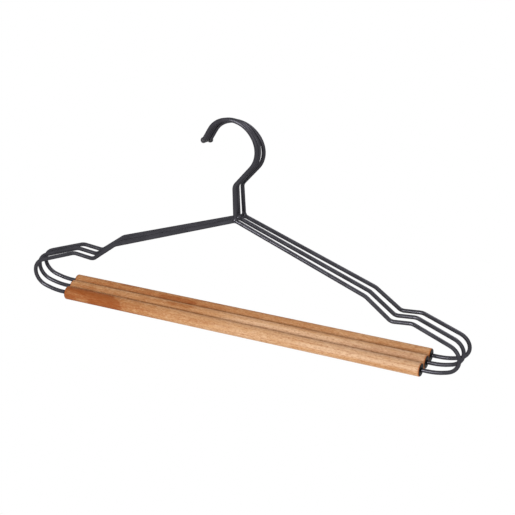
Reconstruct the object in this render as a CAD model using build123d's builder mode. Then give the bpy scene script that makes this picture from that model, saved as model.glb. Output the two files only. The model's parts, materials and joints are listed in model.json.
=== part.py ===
from build123d import *
from math import asin, atan2, cos, degrees, radians, sin, tan
import os

os.makedirs("parts", exist_ok=True)

# Three equal trouser hangers, nested side by side on one rail as they are stored.
# Each hanger is a bent steel wire frame with a strap notch in each shoulder, a round
# hook welded on its apex, and a wooden bar that turns on the two ends of the wire.
# X runs along the bars, Y from the front hanger to the rear one, and Z is up.
# The origin is where the crown of the middle hook rests on the rail.
# All lengths are in millimetres and all turns in degrees.

# Wire
wire_diameter = 3.8

# Wooden bar, its end bores and the wire in them
bar_length = 365.6
bar_diameter = 12.8
bar_edge_round = 0.5
pin_depth = 32.0
pin_end_play = 3.0
pin_bore_clearance = 0.5
pin_end_chamfer = 0.4

# End caps: a thin disc on the end grain and a bush in the bore
cap_disc_thickness = 0.5
cap_edge_chamfer = 0.15
cap_bush_wall = 1.9
cap_bush_length = 14.0
pin_fit = 0.05
bush_fit = 0.02

# Frame outline, from the bar's end round the end loop and up to the apex
lower_run = 14.0
loop_reach = 49.9
loop_rise = 15.7
outer_slope_run = 73.9
notch_height = 44.0
notch_depth = 2.3
notch_width = 20.5
shoulder_run = 24.7
shoulder_rise = 20.4
frame_height = 115.6

# Bends of the frame, on the wire's centre line
crest_bend = 11.0
notch_bend = 7.4
shoulder_bend = 11.7
apex_bend = 7.0
loop_bend_share = 0.79
heel_bend_share = 0.8

# Hook, on the wire's centre line
crown_radius = 23.4
crown_tip_turn = 61.3
crown_neck_turn = 44.8
hook_side_radius = 28.3
hook_side_turn = 84.0
slant_run = 23.1
neck_bend = 9.0
neck_run = 32.3
tip_run = 13.9

# Weld at the hook's foot
weld_height = 3.2
weld_spread = 0.7

# Round bead moulded on the hook's end
bead_diameter = 5.5
bead_fit = 0.02

# How the three hangers nest. The outer two lie a little askew to the middle one: each is
# turned about the upright, swung in its own plane, shifted along X and lifted.
neighbour_gap = 0.4
front_turn = -0.95
front_swing = 0.47
front_shift = 0.48
front_lift = 2.45
rear_turn = 0.77
rear_swing = -0.46
rear_shift = 1.71
rear_lift = -3.23

# How far each bar has slid along its pins
front_bar_shift = -0.9
middle_bar_shift = -0.2
rear_bar_shift = -1.7

wire_radius = wire_diameter / 2
bar_radius = bar_diameter / 2
bead_radius = bead_diameter / 2
bush_radius = wire_radius + pin_fit + cap_bush_wall
disc_radius = bar_radius - bar_edge_round

# Centre line of the frame, with the middle of the bar at (0, 0)
half_bar = bar_length / 2
heel_x = half_bar + lower_run
loop_x = heel_x + loop_reach
crest_x = loop_x - outer_slope_run
notch_x = crest_x - notch_width
shoulder_x = notch_x - shoulder_run
crest_height = notch_height + notch_depth
shoulder_height = notch_height + shoulder_rise

right_side = [
    (half_bar - pin_depth, 0),
    (heel_x, 0),
    (loop_x, loop_rise),
    (crest_x, crest_height),
    (notch_x, notch_height),
    (shoulder_x, shoulder_height),
]
left_side = [(-x, y) for x, y in reversed(right_side)]
frame_points = right_side + [(0, frame_height)] + left_side

# The two bends of an end loop share the straight between their corners, and the lower
# one begins outside the bar, so that the pin runs straight in its bore
loop_side = (loop_reach**2 + loop_rise**2) ** 0.5
heel_turn = atan2(loop_rise, loop_reach)
loop_turn = atan2(crest_height - loop_rise, -outer_slope_run) - heel_turn
bar_slide = max(abs(front_bar_shift), abs(middle_bar_shift), abs(rear_bar_shift))
heel_room = min(lower_run - bar_slide, loop_side * (1 - loop_bend_share))
heel_bend = heel_bend_share * heel_room / tan(heel_turn / 2)
loop_bend = loop_bend_share * loop_side / tan(loop_turn / 2)
right_bends = [heel_bend, loop_bend, crest_bend, notch_bend, shoulder_bend]
frame_bends = right_bends + [apex_bend] + right_bends[::-1]

# The apex bend carries the wire a little below its corner
apex_slope = atan2(frame_height - shoulder_height, shoulder_x)
apex_top = frame_height - apex_bend * (1 / cos(apex_slope) - 1)


def bend_end(start, heading, radius, turn):
    """End of an arc: where it stops and which way it points."""
    side = 1 if turn > 0 else -1
    centre_way = heading + side * radians(90)
    centre_x = start[0] + radius * cos(centre_way)
    centre_y = start[1] + radius * sin(centre_way)
    end_way = centre_way + radians(180 + turn)
    end = (centre_x + radius * cos(end_way), centre_y + radius * sin(end_way))
    return end, heading + radians(turn)


def run_end(start, heading, length):
    """End of a straight run."""
    return (start[0] + length * cos(heading), start[1] + length * sin(heading))


# Hook's centre line from the crown down to the foot, with the rail contact at (0, 0)
crown_top = (0, wire_radius)
crown_end, way = bend_end(crown_top, 0, crown_radius, -crown_neck_turn)
side_end, way = bend_end(crown_end, way, hook_side_radius, -hook_side_turn)
slant_end = run_end(side_end, way, slant_run)
straight_down = radians(-90)
neck_turn = degrees(straight_down - way)
neck_top, way = bend_end(slant_end, way, neck_bend, neck_turn)
foot = run_end(neck_top, way, neck_run)
tip_top, tip_way = bend_end(crown_top, radians(180), crown_radius, crown_tip_turn)
bead_centre = run_end(tip_top, tip_way, tip_run)

# Drop from the rail to the bar's axis, and the hanger's middle beside the rail contact
bar_drop = apex_top - foot[1]
middle_x = foot[0]

# How far down and along the hanger the bead lies
bead_drop_share = -bead_centre[1] / bar_drop
bead_reach = abs(bead_centre[0])


def nest_pitches(turn):
    """Distances from hanger to hanger at the rail and at the bars.

    The bars touch at the end that the turn brings together, and so do the beads.
    """
    closing = abs(sin(radians(turn)))
    bar_pitch = bar_diameter + neighbour_gap + half_bar * closing
    bead_pitch = bead_diameter + neighbour_gap + bead_reach * closing
    even_pitch = (bead_pitch - bead_drop_share * bar_pitch) / (1 - bead_drop_share)
    return max(even_pitch, wire_diameter + neighbour_gap), bar_pitch


def hanger_plane(place, turn, swing, shift, lift):
    """Plane of one hanger's wire: origin on the rail, x along the bar, y up."""
    hook_pitch, bar_pitch = nest_pitches(turn)
    tilt = place * asin((bar_pitch - hook_pitch) / bar_drop)
    level = Vector(cos(radians(turn)), sin(radians(turn)), 0)
    up = Vector(sin(radians(turn)) * sin(tilt), -cos(radians(turn)) * sin(tilt), cos(tilt))
    along = level * cos(radians(swing)) + up * sin(radians(swing))
    return Plane(
        origin=(shift, place * hook_pitch, lift), x_dir=along, z_dir=level.cross(up)
    )


def moved_plane(plane, x, y):
    """The same plane with its origin moved along its own x and y."""
    return Plane(
        origin=plane.from_local_coords((x, y, 0)), x_dir=plane.x_dir, z_dir=plane.z_dir
    )


def wire_start(path):
    """Plane square to a wire path at its first point."""
    return Plane(origin=path @ 0, z_dir=path % 0)


def bar_end_plane(bar_plane, side):
    """Plane of the bar's end face, looking out of the bar."""
    origin = bar_plane.from_local_coords((side * half_bar, 0, 0))
    return Plane(origin=origin, x_dir=bar_plane.z_dir, z_dir=bar_plane.x_dir * side)


def make_frame_wire(frame_plane):
    """One wire from pin to pin: end loop, notch, arm, apex and the same back."""
    with BuildPart() as frame_wire:
        with BuildLine(frame_plane) as outline:
            FilletPolyline(*frame_points, radius=frame_bends)
        path = outline.wires()[0]
        with BuildSketch(wire_start(path)):
            Circle(wire_radius)
        sweep(path=path)
        pin_ends = frame_wire.faces().filter_by(GeomType.PLANE)
        chamfer(pin_ends.edges(), length=pin_end_chamfer)
    return frame_wire


def make_hook_wire(rail_plane, frame_wire):
    """The hook and its neck, coped over the apex and welded on."""
    with BuildPart() as hook_wire:
        with BuildLine(rail_plane) as centre_line:
            tip_arc = JernArc(crown_top, (-1, 0), crown_radius, crown_tip_turn)
            Line(tip_arc @ 1, tip_arc @ 1 + tip_arc % 1 * tip_run)
            crown = JernArc(crown_top, (1, 0), crown_radius, -crown_neck_turn)
            side = JernArc(crown @ 1, crown % 1, hook_side_radius, -hook_side_turn)
            slant = Line(side @ 1, side @ 1 + side % 1 * slant_run)
            bend = JernArc(slant @ 1, slant % 1, neck_bend, neck_turn)
            Line(bend @ 1, bend @ 1 + bend % 1 * neck_run)
        path = centre_line.wires()[0]
        with BuildSketch(wire_start(path)):
            Circle(wire_radius)
        sweep(path=path)
        weld_plane = moved_plane(rail_plane, *foot)
        with BuildSketch(weld_plane):
            with BuildLine():
                Polyline(
                    (0, 0),
                    (wire_radius + weld_spread, 0),
                    (wire_radius + weld_spread, wire_radius),
                )
                ThreePointArc(
                    (wire_radius + weld_spread, wire_radius),
                    (wire_radius + weld_spread / 4, wire_radius + weld_height / 3),
                    (wire_radius, wire_radius + weld_height),
                )
                Polyline(
                    (wire_radius, wire_radius + weld_height),
                    (0, wire_radius + weld_height),
                    (0, 0),
                )
            make_face()
        revolve(axis=Axis(weld_plane.origin, weld_plane.y_dir))
        add(frame_wire.part, mode=Mode.SUBTRACT)
    return hook_wire


def make_hook_bead(rail_plane):
    """The round bead on the hook's end, with a blind bore for the wire."""
    bead_plane = moved_plane(rail_plane, *bead_centre)
    wire_way = -(rail_plane.x_dir * cos(tip_way) + rail_plane.y_dir * sin(tip_way))
    with BuildPart() as hook_bead:
        with Locations(bead_plane):
            Sphere(bead_radius)
        with BuildSketch(Plane(origin=bead_plane.origin, z_dir=wire_way)):
            Circle(wire_radius + bead_fit)
        extrude(amount=bead_diameter, mode=Mode.SUBTRACT)
    return hook_bead


def make_wooden_bar(bar_plane):
    """The turned bar, with a stepped bore in each end for the bush and the pin."""
    with BuildPart() as wooden_bar:
        with BuildSketch(bar_end_plane(bar_plane, 1)):
            Circle(bar_radius)
        extrude(amount=-bar_length)
        fillet(wooden_bar.edges().filter_by(GeomType.CIRCLE), radius=bar_edge_round)
        with Locations(bar_end_plane(bar_plane, 1), bar_end_plane(bar_plane, -1)):
            CounterBoreHole(
                radius=wire_radius + pin_bore_clearance,
                counter_bore_radius=bush_radius + bush_fit,
                counter_bore_depth=cap_bush_length,
                depth=pin_depth + pin_end_play,
            )
    return wooden_bar


def make_end_cap(bar_plane, side):
    """The thin disc over the bar's end and the bush that the wire turns in."""
    end_plane = bar_end_plane(bar_plane, side)
    with BuildPart() as end_cap:
        with BuildSketch(end_plane):
            Circle(disc_radius)
        extrude(amount=cap_disc_thickness)
        outer_rim = end_cap.faces().sort_by(Axis(end_plane.origin, end_plane.z_dir))[-1]
        chamfer(outer_rim.edges(), length=cap_edge_chamfer)
        with BuildSketch(end_plane):
            Circle(bush_radius)
        extrude(amount=-cap_bush_length)
        with Locations(end_plane.offset(cap_disc_thickness)):
            Hole(radius=wire_radius + pin_fit, depth=cap_disc_thickness + cap_bush_length)
    return end_cap


hangers = {
    "front": (-1, front_turn, front_swing, front_shift, front_lift),
    "middle": (0, 0, 0, 0, 0),
    "rear": (1, rear_turn, rear_swing, rear_shift, rear_lift),
}
bar_shifts = {
    "front": front_bar_shift,
    "middle": middle_bar_shift,
    "rear": rear_bar_shift,
}

for name, lie in hangers.items():
    rail_plane = hanger_plane(*lie)
    frame_plane = moved_plane(rail_plane, middle_x, -bar_drop)
    bar_plane = moved_plane(frame_plane, bar_shifts[name], 0)

    frame_wire = make_frame_wire(frame_plane)
    frame_wire.part.label = f"{name}_frame_wire"
    export_step(frame_wire.part, f"parts/{name}_frame_wire.step")

    hook_wire = make_hook_wire(rail_plane, frame_wire)
    hook_wire.part.label = f"{name}_hook_wire"
    export_step(hook_wire.part, f"parts/{name}_hook_wire.step")

    hook_bead = make_hook_bead(rail_plane)
    hook_bead.part.label = f"{name}_hook_bead"
    export_step(hook_bead.part, f"parts/{name}_hook_bead.step")

    wooden_bar = make_wooden_bar(bar_plane)
    wooden_bar.part.label = f"{name}_wooden_bar"
    export_step(wooden_bar.part, f"parts/{name}_wooden_bar.step")

    left_cap = make_end_cap(bar_plane, -1)
    left_cap.part.label = f"{name}_left_end_cap"
    export_step(left_cap.part, f"parts/{name}_left_end_cap.step")

    right_cap = make_end_cap(bar_plane, 1)
    right_cap.part.label = f"{name}_right_end_cap"
    export_step(right_cap.part, f"parts/{name}_right_end_cap.step")

print("bar drop", round(bar_drop, 2), "middle x", round(middle_x, 2))
print("hook and bar pitch", [round(pitch, 3) for pitch in nest_pitches(rear_turn)])
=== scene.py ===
"""Three nested trouser hangers in a plain studio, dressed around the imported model.

Each hanger is a black-coated wire frame with a round hook and a wooden bar that turns
on the two ends of the wire.  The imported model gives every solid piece; this script
gives each piece its finish, adds the small things that the solids leave out, and
sets the light and the camera.  All lengths are in metres unless a name says _mm.
"""

import json
import logging
import math
from dataclasses import dataclass, field
from enum import Enum
from typing import Sequence

import bpy
import numpy as np
from mathutils import Matrix, Vector

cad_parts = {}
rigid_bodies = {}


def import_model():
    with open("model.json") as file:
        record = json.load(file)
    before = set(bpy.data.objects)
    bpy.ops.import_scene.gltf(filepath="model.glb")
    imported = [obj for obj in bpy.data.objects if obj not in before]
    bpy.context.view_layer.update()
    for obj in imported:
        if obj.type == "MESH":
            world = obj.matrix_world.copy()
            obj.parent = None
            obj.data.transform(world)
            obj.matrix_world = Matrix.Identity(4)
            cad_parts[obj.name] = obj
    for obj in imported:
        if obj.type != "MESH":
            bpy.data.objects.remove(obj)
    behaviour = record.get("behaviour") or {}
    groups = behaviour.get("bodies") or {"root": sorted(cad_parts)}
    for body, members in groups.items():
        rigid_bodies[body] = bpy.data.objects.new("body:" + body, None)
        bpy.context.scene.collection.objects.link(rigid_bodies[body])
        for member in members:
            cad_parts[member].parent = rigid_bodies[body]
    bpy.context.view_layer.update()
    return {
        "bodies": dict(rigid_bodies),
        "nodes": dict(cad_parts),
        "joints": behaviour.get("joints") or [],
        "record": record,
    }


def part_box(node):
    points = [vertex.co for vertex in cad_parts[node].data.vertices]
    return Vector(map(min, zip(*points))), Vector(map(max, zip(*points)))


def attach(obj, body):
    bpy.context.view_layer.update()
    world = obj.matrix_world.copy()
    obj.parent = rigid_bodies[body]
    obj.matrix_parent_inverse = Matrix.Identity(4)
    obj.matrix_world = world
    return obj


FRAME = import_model()

LOG = logging.getLogger("trouser_hangers")
MM = 0.001
WHITE = (1.0, 1.0, 1.0, 1.0)
SEEN_RAYS = ("Is Camera Ray", "Is Glossy Ray", "Is Transmission Ray")
Triple = tuple[float, float, float]
Colour = Triple


def linear(red: int, green: int, blue: int) -> Colour:
    """Linear light of a display colour.

    Args:
        red: its red, in steps of 0 to 255.
        green: its green, the same way.
        blue: its blue, the same way.

    Returns:
        Red, green and blue in linear light, each from 0 to 1.
    """
    parts = np.array([red, green, blue]) / 255.0
    low, high = parts / 12.92, ((parts + 0.055) / 1.055) ** 2.4
    return tuple(float(c) for c in np.where(parts <= 0.04045, low, high))


class Place(Enum):
    """Where a hanger stands in the nested stack."""

    FRONT = "front"
    MIDDLE = "middle"
    REAR = "rear"


# ----------------------------------------------------------------------------------
# Node graphs
# ----------------------------------------------------------------------------------


class Graph:
    """A small writer for shader node trees."""

    def __init__(self, name: str) -> None:
        """Starts an empty material.

        Args:
            name: the material's name.
        """
        self.material = bpy.data.materials.new(name)
        self.material.use_nodes = True
        self.tree = self.material.node_tree
        self.tree.nodes.clear()
        self.output = self.tree.nodes.new("ShaderNodeOutputMaterial")

    def node(
        self, kind: str, links: dict | None = None, **values: object
    ) -> bpy.types.Node:
        """Adds one node.

        Args:
            kind: the node type without its ShaderNode prefix.
            links: input name or index to the socket or the constant that feeds it.
            values: attributes set on the node itself.

        Returns:
            The new node.
        """
        made = self.tree.nodes.new("ShaderNode" + kind)
        for key, value in values.items():
            setattr(made, key, value)
        for key, value in (links or {}).items():
            if isinstance(value, bpy.types.NodeSocket):
                self.tree.links.new(value, made.inputs[key])
            else:
                made.inputs[key].default_value = value
        return made

    def math(
        self, operation: str, *terms: object, clamp: bool = False
    ) -> bpy.types.NodeSocket:
        """One step of arithmetic on up to three sockets or numbers.

        Args:
            operation: Blender's name of the operation.
            terms: what it works on.
            clamp: whether the result is kept from 0 to 1.

        Returns:
            The result's socket.
        """
        links = dict(enumerate(terms))
        return self.node("Math", links, operation=operation, use_clamp=clamp).outputs[0]

    def place_mm(self) -> bpy.types.NodeSocket:
        """The piece's own coordinates in millimetres.

        Returns:
            The coordinates' socket.
        """
        coords = self.node("TexCoord").outputs["Object"]
        links = {0: coords, 1: [1.0 / MM] * 3}
        return self.node("VectorMath", links, operation="MULTIPLY").outputs[0]

    def stretch(
        self, value: object, low: float, high: float,
        out_low: float = 0.0, out_high: float = 1.0,
    ) -> bpy.types.NodeSocket:
        """Maps a range onto another with soft ends.

        Args:
            value: the socket to map.
            low: the value that gives out_low.
            high: the value that gives out_high.
            out_low: result at and below low.
            out_high: result at and above high.

        Returns:
            The result's socket.
        """
        links = {0: value, 1: low, 2: high, 3: out_low, 4: out_high}
        node = self.node("MapRange", links, interpolation_type="SMOOTHSTEP")
        return node.outputs[0]

    def noise(
        self, place: bpy.types.NodeSocket, sizes: Sequence[float], detail: float = 2.0,
        roughness: float = 0.5,
    ) -> bpy.types.NodeSocket:
        """Smooth noise whose blots have the given sizes along X, Y and Z.

        Args:
            place: coordinates, in millimetres.
            sizes: blot sizes in millimetres.
            detail: octaves.
            roughness: how strong the finer octaves are.

        Returns:
            The noise value's socket, about 0.5 in the middle.
        """
        shares = [1.0 / size for size in sizes]
        scaled = self.node("VectorMath", {0: place, 1: shares}, operation="MULTIPLY")
        links = {
            "Vector": scaled.outputs[0],
            "Scale": 1.0,
            "Detail": detail,
            "Roughness": roughness,
        }
        return self.node("TexNoise", links).outputs[0]

    def blend(
        self, share: object, first: object, second: object, mode: str = "MIX"
    ) -> bpy.types.NodeSocket:
        """Mixes two colours.

        Args:
            share: how much of the second one shows.
            first: socket or colour below.
            second: socket or colour above.
            mode: Blender's blend type.

        Returns:
            The colour's socket.
        """
        node = self.node("Mix", data_type="RGBA", blend_type=mode, clamp_factor=True)
        for index, value in ((0, share), (6, first), (7, second)):
            if isinstance(value, bpy.types.NodeSocket):
                self.tree.links.new(value, node.inputs[index])
            else:
                plain = value if index == 0 else (*value, 1.0)
                node.inputs[index].default_value = plain
        return node.outputs[2]

    def ramp(
        self, value: object, stops: Sequence[tuple[float, float]]
    ) -> bpy.types.NodeSocket:
        """A number that follows given stops.

        Args:
            value: the socket to follow, from 0 to 1.
            stops: pairs of place and grey level.

        Returns:
            The grey level's socket.
        """
        node = self.node("ValToRGB", {0: value})
        node.color_ramp.interpolation = "B_SPLINE"
        points = node.color_ramp.elements
        while len(points) < len(stops):
            points.new(0.5)
        for point, (place, grey) in zip(points, stops):
            point.position, point.color = place, (grey, grey, grey, 1.0)
        return node.outputs[0]

    def bump(
        self, height: object, strength: float, depth_mm: float
    ) -> bpy.types.NodeSocket:
        """A bumped normal.

        Args:
            height: the height field's socket.
            strength: how much of it shows.
            depth_mm: how deep a full step is.

        Returns:
            The normal's socket.
        """
        links = {"Strength": strength, "Distance": depth_mm * MM, "Height": height}
        return self.node("Bump", links).outputs[0]

    def close(self, surface: bpy.types.Node) -> bpy.types.Material:
        """Joins the shader to the output.

        Args:
            surface: the shader's node.

        Returns:
            The finished material.
        """
        self.tree.links.new(surface.outputs[0], self.output.inputs["Surface"])
        return self.material


@dataclass(frozen=True)
class WoodAndLightPatch:
    """A darker or paler patch in a bar's colour: a dark cloud or streak in the wood, such
    as beside a knot, and also a band of painted highlight or painted shade along one side
    of the bar.

    Attributes:
        along_mm: its place along the bar from the middle.
        reach_mm: how far it reaches along the bar each way.
        turn: its place round the bar in degrees, 0 at the front and 90 on top.
        spread: how far it reaches round the bar each way, in degrees.
        depth: how strong it is, below 0 for a paler place.
    """

    along_mm: float
    reach_mm: float
    turn: float
    spread: float
    depth: float


@dataclass(frozen=True)
class OiledWood:
    """Warm orange-brown wood with fine grain along the bar and a soft oiled sheen.

    Attributes:
        name: the material's name.
        centre: the bar's middle, in metres.
        axis: the way of the bar.
        half_length_mm: from the middle to each end.
        heart_mm: where the tree's heart lies beside the bar, across and upright.
        tones_and_light: places along the bar, from 0 at the left end to 1 at the right,
            each
        with how pale the bar is there: its own tone together with painted light that
        grows towards the right end.
        marks_and_painted_light: darker and paler places, marks in the wood and bands of
            painted highlight and painted shade.
        pale_and_sheen: the palest colour, for the palest wood and for the painted sheen on
            the lit side; light, middle and dark follow it.
        end_grain: colour of the sawn ends.
        shake_mm: blot sizes of the noise that bends the rings and shakes the marks;
            fibre, mottle, broad, cloud and pore are finer or broader noises.
        ring_mm: how far the growth rings are apart.
        early_share: where the pale side of a ring folds back.
        rim_mm: how far from each end the dark rim reaches.
        rim_depth: how strong the rim is.
        roughness: of the plain oiled surface.
        gloss: specular level of the oil, low so that crevices stay warm.
    """

    name: str
    centre: Triple
    axis: Triple
    half_length_mm: float
    heart_mm: tuple[float, float]
    tones_and_light: tuple[tuple[float, float], ...]
    marks_and_painted_light: tuple[WoodAndLightPatch, ...] = ()
    pale_and_sheen: Colour = linear(216, 179, 144)
    light: Colour = linear(198, 153, 110)
    middle: Colour = linear(175, 122, 77)
    dark: Colour = linear(140, 73, 31)
    end_grain: Colour = linear(158, 80, 26)
    shake_mm: Triple = (46.0, 9.0, 9.0)
    fibre_mm: Triple = (7.0, 0.42, 0.42)
    mottle_mm: Triple = (2.6, 1.0, 1.0)
    broad_mm: Triple = (70.0, 16.0, 16.0)
    cloud_mm: Triple = (11.0, 3.0, 3.0)
    pore_mm: Triple = (3.2, 0.34, 0.34)
    ring_mm: float = 1.5
    early_share: float = 0.62
    rim_mm: float = 1.5
    rim_depth: float = 0.78
    roughness: float = 0.50
    gloss: float = 0.08

    def place(self, graph: Graph) -> bpy.types.NodeSocket:
        """Coordinates in millimetres with X along the bar from its middle.

        Args:
            graph: the wood's node graph.

        Returns:
            The coordinates' socket.
        """
        way = Vector(self.axis).normalized()
        turn = way.to_track_quat("X", "Z").to_euler()
        coords = graph.node("TexCoord").outputs["Object"]
        links = {
            "Vector": coords,
            "Location": self.centre,
            "Rotation": turn,
            "Scale": [MM] * 3,
        }
        return graph.node("Mapping", links, vector_type="TEXTURE").outputs[0]

    def marked(
        self,
        graph: Graph,
        parts: Sequence[bpy.types.NodeSocket],
        shake: bpy.types.NodeSocket,
    ) -> object:
        """How much darker the marks and the bands of painted highlight and shade make each
        place.

        A mark is full where (distance along / reach) to the fourth plus (angle round
        / spread) squared is below 0.3, and gone where that sum is above 1.4.  Noise
        shakes its ends, and the marks are added up.

        Args:
            graph: the wood's node graph.
            parts: the place along, across and upright, in millimetres.
            shake: long smooth noise.

        Returns:
            The sum's socket, or 0 where the wood has no marks.
        """
        along, across, upright = parts
        ahead = graph.math("MULTIPLY", across, -1.0)
        angle = graph.math("DEGREES", graph.math("ARCTAN2", upright, ahead))
        jitter = graph.math("MULTIPLY_ADD", shake, 1.5, -0.75)
        total: object = 0.0
        for mark in self.marks_and_painted_light:
            reach = graph.math("SUBTRACT", along, mark.along_mm)
            reach = graph.math("MULTIPLY_ADD", reach, 1.0 / mark.reach_mm, jitter)
            turn = graph.math("SUBTRACT", angle, mark.turn)
            turn = graph.math("DIVIDE", turn, mark.spread)
            reach_part = graph.math("POWER", graph.math("ABSOLUTE", reach), 4.0)
            span = graph.math("ADD", reach_part, graph.math("POWER", turn, 2.0))
            share = graph.stretch(span, 0.3, 1.4, mark.depth, 0.0)
            total = graph.math("ADD", share, total)
        return total

    def material(self) -> bpy.types.Material:
        """Builds the wood.

        Growth rings are shells round a tree heart that lies beside the bar.  The
        distance to it, shaken by long noise, is folded into a saw; its late side is
        darker.  Short dashes along the bar are the pores.

        Returns:
            The finished material.
        """
        graph = Graph(self.name)
        place = self.place(graph)
        parts = graph.node("SeparateXYZ", {0: place})
        along, across, upright = parts.outputs

        shake = graph.noise(place, self.shake_mm, 2.0)
        fibre = graph.noise(place, self.fibre_mm, 3.0, 0.6)
        mottle = graph.noise(place, self.mottle_mm, 2.0, 0.65)
        broad = graph.noise(place, self.broad_mm, 1.0)
        cloud = graph.noise(place, self.cloud_mm, 2.0, 0.6)
        pore = graph.noise(place, self.pore_mm, 1.0)
        marks_and_painted_light = self.marked(graph, parts.outputs, shake)

        # Growth rings, which swirl more beside a mark
        side = graph.math("SUBTRACT", across, self.heart_mm[0])
        height = graph.math("SUBTRACT", upright, self.heart_mm[1])
        side_squared = graph.math("POWER", side, 2.0)
        height_squared = graph.math("POWER", height, 2.0)
        radius = graph.math("SQRT", graph.math("ADD", side_squared, height_squared))
        swirl = graph.math("MULTIPLY_ADD", marks_and_painted_light, 2.4, 2.2)
        waved = graph.math("MULTIPLY_ADD", shake, swirl, radius)
        waved = graph.math("MULTIPLY_ADD", along, 0.006, waved)
        saw = graph.math("FRACT", graph.math("DIVIDE", waved, self.ring_mm))
        late = graph.stretch(graph.math("PINGPONG", saw, self.early_share), 0.30, 0.60)

        # The board's tone drifts along the bar and in long soft clouds; the drift along the
        # bar also holds painted light, paler towards the right end where the lamps fall
        # more
        share = graph.math("MULTIPLY_ADD", along, 0.5 / self.half_length_mm, 0.5)
        tone_and_light = graph.ramp(share, self.tones_and_light)
        body = graph.math("MULTIPLY_ADD", graph.math("SUBTRACT", broad, 0.5), 0.6, tone_and_light)
        body = graph.math("MULTIPLY_ADD", graph.math("SUBTRACT", cloud, 0.5), 0.55, body)
        body = graph.math("SUBTRACT", body, marks_and_painted_light)
        colour = graph.blend(graph.stretch(body, 0.0, 0.5), self.dark, self.middle)
        colour = graph.blend(graph.stretch(body, 0.3, 0.75), colour, self.light)
        colour = graph.blend(graph.stretch(body, 0.6, 1.1), colour, self.pale_and_sheen)
        colour = graph.blend(graph.math("MULTIPLY", late, 0.30), colour, self.dark)

        # Fibres, pale glints of painted sheen, dark flecks and pores
        streak = graph.stretch(fibre, 0.40, 0.66, 0.0, 0.40)
        colour = graph.blend(streak, colour, self.middle)
        glint = graph.stretch(mottle, 0.48, 0.30, 0.0, 0.65)
        glint = graph.math("MULTIPLY", glint, body, clamp=True)
        colour = graph.blend(glint, colour, self.pale_and_sheen)
        fleck = graph.stretch(mottle, 0.52, 0.70, 0.0, 0.50)
        colour = graph.blend(fleck, colour, self.dark)
        dash = graph.stretch(pore, 0.62, 0.72, 0.0, 0.55)
        colour = graph.blend(dash, colour, self.dark)

        # A rim round each end, and the end itself, are darker, blended towards the
        # end-grain colour
        from_middle = graph.math("ABSOLUTE", along)
        from_end = graph.math("SUBTRACT", self.half_length_mm, from_middle)
        rim = graph.stretch(from_end, 0.2, self.rim_mm, self.rim_depth, 0.0)
        colour = graph.blend(rim, colour, self.end_grain)

        relief = graph.math("MULTIPLY_ADD", dash, -1.0, graph.math("MULTIPLY", fibre, 0.5))
        rough = graph.math("MULTIPLY_ADD", mottle, 0.16, self.roughness)
        rough = graph.math("MULTIPLY_ADD", dash, 0.2, rough, clamp=True)
        surface = graph.node(
            "BsdfPrincipled",
            {
                "Base Color": colour,
                "Roughness": rough,
                "IOR": 1.47,
                "Specular IOR Level": self.gloss,
                "Normal": graph.bump(relief, 0.55, 0.05),
            },
        )
        return graph.close(surface)


@dataclass(frozen=True)
class WireCoat:
    """Satin black coating over steel wire, with a fine orange peel and faint rub marks.

    The shader is partly metallic with a dark edge tint, because a plain coat gets
    pale rims from the white surroundings.

    Attributes:
        name: the material's name.
        colour: the coat's own colour.
        worn: its colour where it is rubbed.
        edge: what the glancing reflection is multiplied by.
        roughness: of the plain coat.
        metal: how metallic it is.
        gloss: specular level of the part that is not metallic.
        peel_mm: size of the orange peel; cloud and grit are coarser and finer.
        rub_rise_mm: heights over the rail's level between which the rubbing sets in.
        rub_fall_mm: heights between which it fades again.
    """

    name: str = "wire_coat_finish"
    colour: Colour = linear(63, 62, 67)
    worn: Colour = linear(76, 74, 82)
    edge: Colour = (0.3, 0.3, 0.32)
    roughness: float = 0.28
    metal: float = 0.8
    gloss: float = 0.4
    peel_mm: float = 1.6
    cloud_mm: float = 14.0
    grit_mm: float = 0.6
    rub_rise_mm: tuple[float, float] = (-5.0, -0.5)
    rub_fall_mm: tuple[float, float] = (0.8, 3.2)

    def material(self) -> bpy.types.Material:
        """Builds the coat.

        Returns:
            The finished material.
        """
        graph = Graph(self.name)
        place = graph.place_mm()
        peel = graph.noise(place, (self.peel_mm,) * 3, 1.0)
        cloud = graph.noise(place, (self.cloud_mm,) * 3, 2.0)
        grit = graph.noise(place, (self.grit_mm,) * 3, 0.0)
        speck = graph.stretch(grit, 0.76, 0.84, 0.0, 0.5)

        # Each hook's crown is rubbed where it slides on the rail
        height = graph.node("SeparateXYZ", {0: place}).outputs[2]
        rubbed = graph.stretch(height, *self.rub_rise_mm)
        faded = graph.stretch(height, *self.rub_fall_mm, 0.55, 0.0)
        rubbed = graph.math("MULTIPLY", rubbed, faded)
        rubbed = graph.math("MULTIPLY", rubbed, graph.stretch(peel, 0.35, 0.7))

        shade = graph.stretch(cloud, 0.3, 0.7, 0.86, 1.12)
        shaded = graph.node("CombineXYZ", {0: shade, 1: shade, 2: shade}).outputs[0]
        colour = graph.blend(1.0, self.colour, shaded, "MULTIPLY")
        colour = graph.blend(rubbed, colour, self.worn)
        colour = graph.blend(graph.math("MULTIPLY", speck, 0.15), colour, self.worn)
        rough = graph.stretch(cloud, 0.3, 0.7, self.roughness - 0.05, self.roughness + 0.07)
        rough = graph.math("MULTIPLY_ADD", rubbed, -0.08, rough)
        surface = graph.node(
            "BsdfPrincipled",
            {
                "Base Color": colour,
                "Roughness": rough,
                "IOR": 1.5,
                "Metallic": self.metal,
                "Specular IOR Level": self.gloss,
                "Specular Tint": (*self.edge, 1.0),
                "Normal": graph.bump(peel, 0.08, 0.03),
            },
        )
        return graph.close(surface)


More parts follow.
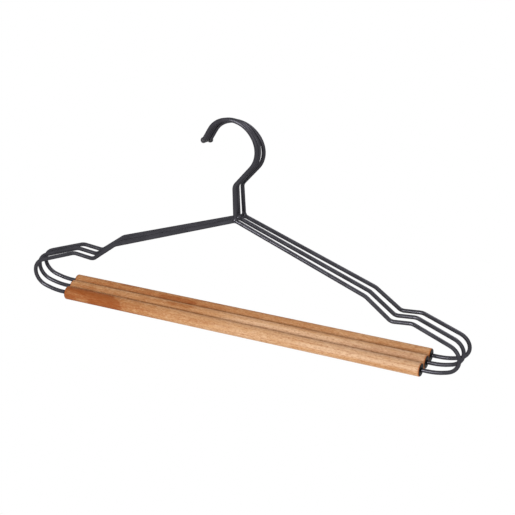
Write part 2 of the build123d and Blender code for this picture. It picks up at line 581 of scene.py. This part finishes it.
@dataclass(frozen=True)
class MouldedPlastic:
    """Black moulded plastic with a fine spark-eroded texture.

    Attributes:
        name: the material's name.
        colour: its palest colour.
        roughness: in the middle of its texture.
        gloss: specular level.
        grain_mm: size of the texture's grains.
        cloud_mm: size of the darker clouds.
        cloud_depth: how much darker they are.
    """

    name: str
    colour: Colour = linear(9, 9, 11)
    roughness: float = 0.50
    gloss: float = 0.08
    grain_mm: float = 0.45
    cloud_mm: float = 5.0
    cloud_depth: float = 0.2

    def material(self) -> bpy.types.Material:
        """Builds the plastic.

        Returns:
            The finished material.
        """
        graph = Graph(self.name)
        place = graph.place_mm()
        grain = graph.noise(place, (self.grain_mm,) * 3, 1.0)
        cloud = graph.noise(place, (self.cloud_mm,) * 3, 1.0)
        dark = tuple((1.0 - self.cloud_depth) * c for c in self.colour)
        colour = graph.blend(graph.stretch(cloud, 0.3, 0.7), dark, self.colour)
        rough = graph.math("MULTIPLY_ADD", grain, 0.14, self.roughness - 0.07)
        surface = graph.node(
            "BsdfPrincipled",
            {
                "Base Color": colour,
                "Roughness": rough,
                "IOR": 1.49,
                "Specular IOR Level": self.gloss,
                "Normal": graph.bump(grain, 0.25, 0.03),
            },
        )
        return graph.close(surface)


@dataclass(frozen=True)
class StudioWhite:
    """Matt paper that lights the hangers from below and itself looks plain white.

    Attributes:
        name: the material's name.
        colour: what the paper gives back to the hangers.
    """

    name: str = "studio_paper"
    colour: Colour = (0.86, 0.86, 0.86)

    def material(self) -> bpy.types.Material:
        """Builds the paper.

        Returns:
            The finished material.
        """
        graph = Graph(self.name)
        coords = graph.node("TexCoord").outputs["Object"]
        pulp = graph.node("TexNoise", {"Vector": coords, "Scale": 900.0, "Detail": 2.0})
        matt = graph.node(
            "BsdfDiffuse",
            {"Color": (*self.colour, 1.0), "Normal": graph.bump(pulp.outputs[0], 0.1, 0.1)},
        )
        path = graph.node("LightPath")
        seen = path.outputs[SEEN_RAYS[0]]
        for ray in SEEN_RAYS[1:]:
            seen = graph.math("MAXIMUM", seen, path.outputs[ray])
        lift = graph.node("Emission", {"Color": WHITE, "Strength": 1.0})
        mixed = graph.node("MixShader", {0: seen, 1: matt.outputs[0], 2: lift.outputs[0]})
        return graph.close(mixed)


# ----------------------------------------------------------------------------------
# The hangers
# ----------------------------------------------------------------------------------


def paint(piece: bpy.types.Object, finish: bpy.types.Material) -> None:
    """Gives a piece one material in all its slots.

    Args:
        piece: the object to paint.
        finish: the material.
    """
    if not piece.material_slots:
        piece.data.materials.append(finish)
    for slot in piece.material_slots:
        slot.material = finish


def node_points(piece: bpy.types.Object) -> np.ndarray:
    """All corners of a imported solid's mesh.

    Args:
        piece: the solid's object.

    Returns:
        One row for each corner, in metres.
    """
    flat = np.empty(3 * len(piece.data.vertices))
    piece.data.vertices.foreach_get("co", flat)
    return flat.reshape(-1, 3)


def slab_middle(points: np.ndarray, low: float, high: float) -> np.ndarray:
    """Middle of the points that lie between two heights.

    Args:
        points: one row each.
        low: lowest height taken.
        high: highest height taken.

    Returns:
        The middle of their box.
    """
    taken = points[(points[:, 2] > low) & (points[:, 2] < high)]
    return (taken.min(axis=0) + taken.max(axis=0)) / 2


def full_turn(steps: int) -> np.ndarray:
    """Angles of a full turn in even steps.

    Args:
        steps: how many.

    Returns:
        The angles in radians, from 0 up to the last one before a full turn.
    """
    return np.arange(steps) * 2.0 * np.pi / steps


def turned_ring(
    section_mm: np.ndarray, sides: int, centre: Sequence[float], axis: Sequence[float],
    swell_mm: np.ndarray | float = 0.0,
) -> tuple[np.ndarray, np.ndarray]:
    """A closed section turned once round an axis.

    Point (i, j) is centre + h_i * axis + (r_i + swell_ij) * (cos t_j * side +
    sin t_j * top), where (r_i, h_i) is the section's point i, t_j is j full turns
    divided by sides, and side, top and axis are square to each other.  Both ways
    round the grid close on themselves.

    Args:
        section_mm: rows of radius and height, counter-clockwise, in millimetres.
        sides: how many times the section is set round the axis.
        centre: where the height is 0.
        axis: the way in which the height grows.
        swell_mm: added to the radius, one number or one for each grid point.

    Returns:
        The points in metres and the faces as rows of four indices.
    """
    way = np.asarray(axis, float) / np.linalg.norm(axis)
    helper = np.eye(3)[int(np.argmin(np.abs(way)))]
    side = np.cross(helper, way)
    side /= np.linalg.norm(side)
    top = np.cross(way, side)
    turn = full_turn(sides)
    spoke = np.outer(np.cos(turn), side) + np.outer(np.sin(turn), top)
    radius = np.broadcast_to(section_mm[:, :1] + swell_mm, (len(section_mm), sides))
    points = radius[:, :, None] * spoke[None] + section_mm[:, 1, None, None] * way
    row, column = np.mgrid[0 : len(section_mm), 0:sides]
    below, beside = (row + 1) % len(section_mm), (column + 1) % sides
    corners = [
        row * sides + column,
        row * sides + beside,
        below * sides + beside,
        below * sides + column,
    ]
    placed = points * MM + np.asarray(centre, float)
    return placed.reshape(-1, 3), np.stack(corners, axis=-1).reshape(-1, 4)


def add_piece(
    name: str, surface: tuple[np.ndarray, np.ndarray], finish: bpy.types.Material,
    body: str,
) -> bpy.types.Object:
    """Puts a surface into the scene as a smooth piece on a body.

    Args:
        name: the piece's name.
        surface: its points and faces.
        finish: its material.
        body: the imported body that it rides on.

    Returns:
        The new object, at the origin.
    """
    points, faces = surface
    mesh = bpy.data.meshes.new(name)
    mesh.from_pydata(points.tolist(), [], faces.tolist())
    mesh.polygons.foreach_set("use_smooth", np.ones(len(faces), bool))
    mesh.update()
    made = bpy.data.objects.new(name, mesh)
    bpy.context.scene.collection.objects.link(made)
    paint(made, finish)
    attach(made, body)
    LOG.info("built %s", name)
    return made


def oval(radius_mm: float, wide_mm: float, high_mm: float, steps: int) -> np.ndarray:
    """Section of a round-topped rib: an ellipse about (radius, 0), counter-clockwise.

    Args:
        radius_mm: how far its middle is from the axis.
        wide_mm: half its width along the radius.
        high_mm: half its height along the axis.
        steps: how many points it has.

    Returns:
        Rows of radius and height.
    """
    turn = full_turn(steps)
    return np.stack([radius_mm + wide_mm * np.cos(turn), high_mm * np.sin(turn)], axis=1)


@dataclass
class WireFrame:
    """The bent wire of one hanger, its hook and the bead on the hook's end.

    Attributes:
        place: which hanger it is.
        nodes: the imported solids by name.
        coat: finish of the two wires and the weld.
        bead: finish of the bead and its seam.
        wire_radius_mm: radius of the hook's wire.
        bead_radius_mm: radius of the bead.
        foot_mm: heights over the hook's lowest point of a slice near its foot.
        neck_mm: the same of a slice near the top of its straight neck.
        weld_height_mm: how far the weld climbs the neck.
        weld_spread_mm: how far it spreads at its foot.
        weld_cover_mm: how thick it is at its top.
        weld_inside_mm: radius of its inside, hidden within the wire.
        weld_steps: points along its outside.
        weld_sides: points round it.
        seam_proud_mm: how far the seam stands out from its own middle.
        seam_high_mm: half its width along the bead's surface.
        seam_sunk_mm: how far its middle lies within the bead.
        seam_sides: points round it.
    """

    place: Place
    nodes: dict[str, bpy.types.Object]
    coat: bpy.types.Material
    bead: bpy.types.Material
    wire_radius_mm: float = 1.9
    bead_radius_mm: float = 2.75
    foot_mm: tuple[float, float] = (2.5, 3.7)
    neck_mm: tuple[float, float] = (31.5, 33.0)
    weld_height_mm: float = 3.3
    weld_spread_mm: float = 0.72
    weld_cover_mm: float = 0.05
    weld_inside_mm: float = 1.4
    weld_steps: int = 14
    weld_sides: int = 48
    seam_proud_mm: float = 0.1
    seam_high_mm: float = 0.14
    seam_sunk_mm: float = 0.02
    seam_sides: int = 72

    def build(self) -> None:
        """Dresses the solids and adds the weld and the bead's seam."""
        self.dress()
        self.lay_weld()
        self.draw_bead_seam()

    def lay_weld(self) -> None:
        """The lumpy ring of weld where the hook stands on the frame.

        Its outside falls from the wire's radius plus the spread to the wire's radius
        as (1 - height / weld height) squared, turns under into the frame wire, and
        two sine waves round it and along it make the lumps.  Its inside is a plain
        tube within the hook's wire.
        """
        points = node_points(self.nodes[f"{self.place.value}_hook_wire"])
        low = points[:, 2].min()
        foot, neck = (
            slab_middle(points, low + span[0] * MM, low + span[1] * MM)
            for span in (self.foot_mm, self.neck_mm)
        )
        way = (neck - foot) / np.linalg.norm(neck - foot)
        base = foot - way * (foot[2] - low) / way[2]

        rise = np.linspace(0.0, 1.0, self.weld_steps)
        outside = self.wire_radius_mm + self.weld_cover_mm
        outside = outside + self.weld_spread_mm * (1.0 - rise) ** 2
        outer = np.stack([outside, rise * self.weld_height_mm], axis=1)
        inside = self.weld_inside_mm
        under = np.array([[inside, -1.3], [1.9, -1.0], [2.35, -0.5]])
        inner = np.array([[inside, self.weld_height_mm], [inside, 1.0]])
        section = np.concatenate([under, outer, inner])

        share = np.concatenate([np.zeros(1), np.full(2, 0.6), 1.0 - rise, np.zeros(2)])
        turn, height = full_turn(self.weld_sides), section[:, 1:]
        lumps = 0.07 * np.sin(5.0 * turn + 2.4 * height)
        lumps = lumps + 0.05 * np.sin(3.0 * turn - 3.1 * height + 1.0)
        surface = turned_ring(section, self.weld_sides, base, way, share[:, None] * lumps)
        name = f"{self.place.value}_hook_weld"
        add_piece(name, surface, self.coat, f"{self.place.value}_hanger")

    def draw_bead_seam(self) -> None:
        """The fine rib that the mould leaves round the bead, in the hanger's plane."""
        low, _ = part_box(f"{self.place.value}_hook_bead")
        centre = np.array(low) + self.bead_radius_mm * MM
        middle = self.bead_radius_mm - self.seam_sunk_mm
        rib = oval(middle, self.seam_proud_mm, self.seam_high_mm, 8)
        surface = turned_ring(rib, self.seam_sides, centre, (0.0, 1.0, 0.0))
        name = f"{self.place.value}_bead_seam"
        add_piece(name, surface, self.bead, f"{self.place.value}_hanger")

    def dress(self) -> None:
        """Paints the two wires and the bead."""
        for part, finish in (
            ("frame_wire", self.coat),
            ("hook_wire", self.coat),
            ("hook_bead", self.bead),
        ):
            name = f"{self.place.value}_{part}"
            paint(self.nodes[name], finish)
            LOG.info("dressed %s", name)


@dataclass
class TurningBar:
    """The wooden bar of one hanger with its two end caps.

    Attributes:
        place: which hanger it belongs to.
        nodes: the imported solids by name.
        wood: finish of the bar, with its middle, axis and length.
        cap: finish of the caps and their lips.
        cap_disc_mm: thickness of the disc over each end.
        lip_radius_mm: from the axis to the middle of the lip.
        lip_width_mm: half the lip's width.
        lip_proud_mm: how far it stands out.
        lip_sides: points round it.
    """

    place: Place
    nodes: dict[str, bpy.types.Object]
    wood: OiledWood
    cap: bpy.types.Material
    cap_disc_mm: float = 0.5
    lip_radius_mm: float = 2.55
    lip_width_mm: float = 0.36
    lip_proud_mm: float = 0.28
    lip_sides: int = 48

    def build(self) -> None:
        """Dresses the solids and adds the lip round each wire hole."""
        self.dress()
        self.raise_lips()

    def raise_lips(self) -> None:
        """The rounded lip that the moulding leaves round the hole in each cap."""
        centre, axis = np.array(self.wood.centre), np.array(self.wood.axis)
        axis = axis / np.linalg.norm(axis) * (1.0 if axis[0] > 0.0 else -1.0)
        reach = (self.wood.half_length_mm + self.cap_disc_mm) * MM
        rib = oval(self.lip_radius_mm, self.lip_width_mm, self.lip_proud_mm, 12)
        for side, sense in (("left", -1.0), ("right", 1.0)):
            surface = turned_ring(rib, self.lip_sides, centre + sense * reach * axis, axis)
            name = f"{self.place.value}_{side}_cap_lip"
            add_piece(name, surface, self.cap, f"{self.place.value}_bar")

    def dress(self) -> None:
        """Paints the wood and the caps."""
        paint(self.nodes[f"{self.place.value}_wooden_bar"], self.wood.material())
        LOG.info("dressed %s_wooden_bar", self.place.value)
        for side in ("left", "right"):
            name = f"{self.place.value}_{side}_end_cap"
            paint(self.nodes[name], self.cap)
            LOG.info("dressed %s", name)


@dataclass
class NestedHangers:
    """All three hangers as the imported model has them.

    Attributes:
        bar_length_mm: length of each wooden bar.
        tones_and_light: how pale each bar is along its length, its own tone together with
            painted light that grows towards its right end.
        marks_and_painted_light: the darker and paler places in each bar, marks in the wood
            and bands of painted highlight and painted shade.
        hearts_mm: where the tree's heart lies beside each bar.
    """

    frame: dict
    bar_length_mm: float = 365.6
    # Part of each bar's rise in paleness towards its right end is painted light.
    tones_and_light: dict[Place, tuple[tuple[float, float], ...]] = field(
        default_factory=lambda: {
            Place.FRONT: ((0.0, 0.0), (0.11, 0.14), (0.18, 0.44), (0.34, 0.68), (1.0, 0.9)),
            Place.MIDDLE: ((0.0, 0.42), (0.18, 0.6), (0.32, 0.5), (0.5, 0.84), (1.0, 0.86)),
            Place.REAR: ((0.0, 0.26), (0.2, 0.4), (0.5, 0.46), (0.85, 0.5), (1.0, 0.6)),
        }
    )
    marks_and_painted_light: dict[Place, tuple[WoodAndLightPatch, ...]] = field(
        default_factory=lambda: {
            Place.FRONT: (
                WoodAndLightPatch(-158.0, 32.0, 84.0, 34.0, 0.60),
                WoodAndLightPatch(-138.0, 17.0, 15.0, 80.0, 0.38),
                WoodAndLightPatch(-112.0, 34.0, -42.0, 18.0, 0.16),
                WoodAndLightPatch(-150.0, 26.0, -12.0, 24.0, -0.16),
                # Painted highlight: a paler band on the upper front of the bar's right
                # half, where the key light's sheen lies.
                WoodAndLightPatch(136.0, 60.0, 32.0, 20.0, -0.26),
                # Painted shade: a darker band just below it, on the bar's lower front.
                WoodAndLightPatch(128.0, 64.0, -6.0, 18.0, 0.20),
            ),
            Place.MIDDLE: (
                WoodAndLightPatch(-66.0, 14.0, 78.0, 24.0, 0.20),
                WoodAndLightPatch(-168.0, 14.0, 60.0, 40.0, 0.10),
                WoodAndLightPatch(96.0, 60.0, 104.0, 22.0, 0.25),
                # Painted light: a paler band low on the bar's visible front, just above the
                # front bar, where shade would otherwise fall.
                WoodAndLightPatch(86.0, 116.0, 52.0, 18.0, -0.30),
            ),
            Place.REAR: (
                WoodAndLightPatch(-124.0, 13.0, 112.0, 26.0, 0.22),
                WoodAndLightPatch(-72.0, 20.0, 58.0, 24.0, 0.20),
                WoodAndLightPatch(20.0, 40.0, 120.0, 20.0, 0.12),
            ),
        }
    )
    hearts_mm: dict[Place, tuple[float, float]] = field(
        default_factory=lambda: {
            Place.FRONT: (-31.0, 22.0),
            Place.MIDDLE: (24.0, -33.0),
            Place.REAR: (41.0, 17.0),
        }
    )

    def build(self) -> None:
        """Dresses every hanger."""
        coat = WireCoat().material()
        bead = MouldedPlastic(
            "hook_bead_plastic", linear(30, 28, 34), roughness=0.26, gloss=0.5
        ).material()
        cap = MouldedPlastic("end_cap_plastic").material()
        joints = {joint["child"]: joint for joint in self.frame["joints"]}
        for place in Place:
            pivot = joints[f"{place.value}_bar"]
            wood = OiledWood(
                name=f"{place.value}_bar_wood",
                centre=tuple(pivot["pos_m"]),
                axis=tuple(pivot["axis"]),
                half_length_mm=self.bar_length_mm / 2,
                heart_mm=self.hearts_mm[place],
                tones_and_light=self.tones_and_light[place],
                marks_and_painted_light=self.marks_and_painted_light[place],
            )
            WireFrame(place, self.frame["nodes"], coat, bead).build()
            TurningBar(place, self.frame["nodes"], wood, cap).build()


# ----------------------------------------------------------------------------------
# The studio
# ----------------------------------------------------------------------------------


@dataclass(frozen=True)
class SoftBox:
    """One square area lamp that looks at a point.

    Attributes:
        name: the lamp's name.
        at: where it hangs.
        size: length of its side.
        power: in watts.
        aim: the point it looks at.
    """

    name: str
    at: Triple
    size: float
    power: float
    aim: Triple = (0.0, 0.0, -0.12)

    def light(self) -> bpy.types.Object:
        """Hangs the lamp in the scene.

        Returns:
            The lamp's object.
        """
        lamp = bpy.data.lights.new(self.name, "AREA")
        lamp.shape, lamp.size, lamp.energy = "SQUARE", self.size, self.power
        made = bpy.data.objects.new(self.name, lamp)
        made.location = self.at
        way = Vector(self.aim) - Vector(self.at)
        made.rotation_euler = way.to_track_quat("-Z", "Y").to_euler()
        bpy.context.scene.collection.objects.link(made)
        return made


@dataclass(frozen=True)
class ViewPoint:
    """The photograph's camera, found by matching the hangers' outlines.

    Attributes:
        focal_px: focal length in pixels of a picture 515 pixels wide.
        yaw: turn about the upright, in degrees, from looking along +Y.
        pitch: how far it looks down, in degrees.
        roll: tilt about its own axis, in degrees.
        distance: from the camera to the point it looks at.
        target: that point.
        picture_px: width of the picture in pixels.
        sensor_mm: width of the camera's sensor.
    """

    focal_px: float = 1891.43
    yaw: float = 24.609
    pitch: float = 31.591
    roll: float = -2.181
    distance: float = 1.743558
    target: Triple = (0.019411, 0.0, -0.13725)
    picture_px: float = 515.0
    sensor_mm: float = 36.0

    def camera(self) -> bpy.types.Object:
        """Sets the camera up.

        The view line is the unit vector (-sin yaw cos pitch, cos yaw cos pitch,
        -sin pitch); right is level and square to it, and both turn by the roll.

        Returns:
            The camera's object.
        """
        yaw, pitch, roll = (math.radians(a) for a in (self.yaw, self.pitch, self.roll))
        right = Vector((math.cos(yaw), math.sin(yaw), 0.0))
        look = Vector(
            (
                -math.sin(yaw) * math.cos(pitch),
                math.cos(yaw) * math.cos(pitch),
                -math.sin(pitch),
            )
        )
        up = right.cross(look)
        side = math.cos(roll) * right + math.sin(roll) * up
        top = math.cos(roll) * up - math.sin(roll) * right
        lens = bpy.data.cameras.new("photo_view")
        lens.sensor_width = self.sensor_mm
        lens.lens = self.focal_px / self.picture_px * self.sensor_mm
        lens.dof.use_dof = False
        lens.clip_start, lens.clip_end = 0.05, 50.0
        made = bpy.data.objects.new("photo_view", lens)
        turn = Matrix((side, top, -look)).transposed()
        spot = Vector(self.target) - look * self.distance
        made.matrix_world = Matrix.Translation(spot) @ turn.to_4x4()
        bpy.context.scene.collection.objects.link(made)
        bpy.context.scene.camera = made
        return made


@dataclass
class Studio:
    """Plain white floor, soft light from all round and the photograph's camera.

    Attributes:
        floor_height: height of the floor, far below the bars.
        floor_half: half the floor's width.
        ambient: strength of the light from all round.
        boxes: the lamps.
    """

    floor_height: float = -0.62
    floor_half: float = 6.0
    ambient: float = 0.5
    boxes: tuple[SoftBox, ...] = (
        SoftBox("key_box", (-0.27, -1.58, 0.70), 0.4, 22.2),
        SoftBox("fill_box", (1.3, -1.4, 0.2), 1.0, 6.0),
        SoftBox("back_box", (0.8, 1.1, 1.2), 1.0, 12.0),
    )

    def build(self) -> None:
        """Lays the floor, lights the scene and places the camera."""
        self.lay_floor()
        self.light_world()
        for box in self.boxes:
            box.light()
        ViewPoint().camera()
        bpy.context.scene.view_settings.view_transform = "Standard"
        LOG.info("studio ready")

    def lay_floor(self) -> None:
        """One flat square far below the hanging bars."""
        half, height = self.floor_half, self.floor_height
        signs = ((-1, -1), (1, -1), (1, 1), (-1, 1))
        corners = [(x * half, y * half, height) for x, y in signs]
        mesh = bpy.data.meshes.new("studio_floor")
        mesh.from_pydata(corners, [], [(0, 1, 2, 3)])
        floor = bpy.data.objects.new("studio_floor", mesh)
        bpy.context.scene.collection.objects.link(floor)
        paint(floor, StudioWhite().material())

    def light_world(self) -> None:
        """Even soft light from all round that itself looks plain white."""
        world = bpy.data.worlds.new("studio_air")
        bpy.context.scene.world = world
        world.use_nodes = True
        tree = world.node_tree
        tree.nodes.clear()
        path = tree.nodes.new("ShaderNodeLightPath")
        seen: bpy.types.NodeSocket = path.outputs[SEEN_RAYS[0]]
        for ray in SEEN_RAYS[1:]:
            either = tree.nodes.new("ShaderNodeMath")
            either.operation = "MAXIMUM"
            tree.links.new(seen, either.inputs[0])
            tree.links.new(path.outputs[ray], either.inputs[1])
            seen = either.outputs[0]
        level = tree.nodes.new("ShaderNodeMapRange")
        level.inputs["To Min"].default_value = self.ambient
        level.inputs["To Max"].default_value = 1.0
        air = tree.nodes.new("ShaderNodeBackground")
        air.inputs["Color"].default_value = WHITE
        out = tree.nodes.new("ShaderNodeOutputWorld")
        tree.links.new(seen, level.inputs["Value"])
        tree.links.new(level.outputs["Result"], air.inputs["Strength"])
        tree.links.new(air.outputs[0], out.inputs["Surface"])


def main(frame: dict) -> None:
    """Builds the hangers and the studio.
    """
    logging.basicConfig(level=logging.INFO, format="%(message)s")
    NestedHangers(frame).build()
    Studio().build()


if __name__ == "__main__":
    main(FRAME)
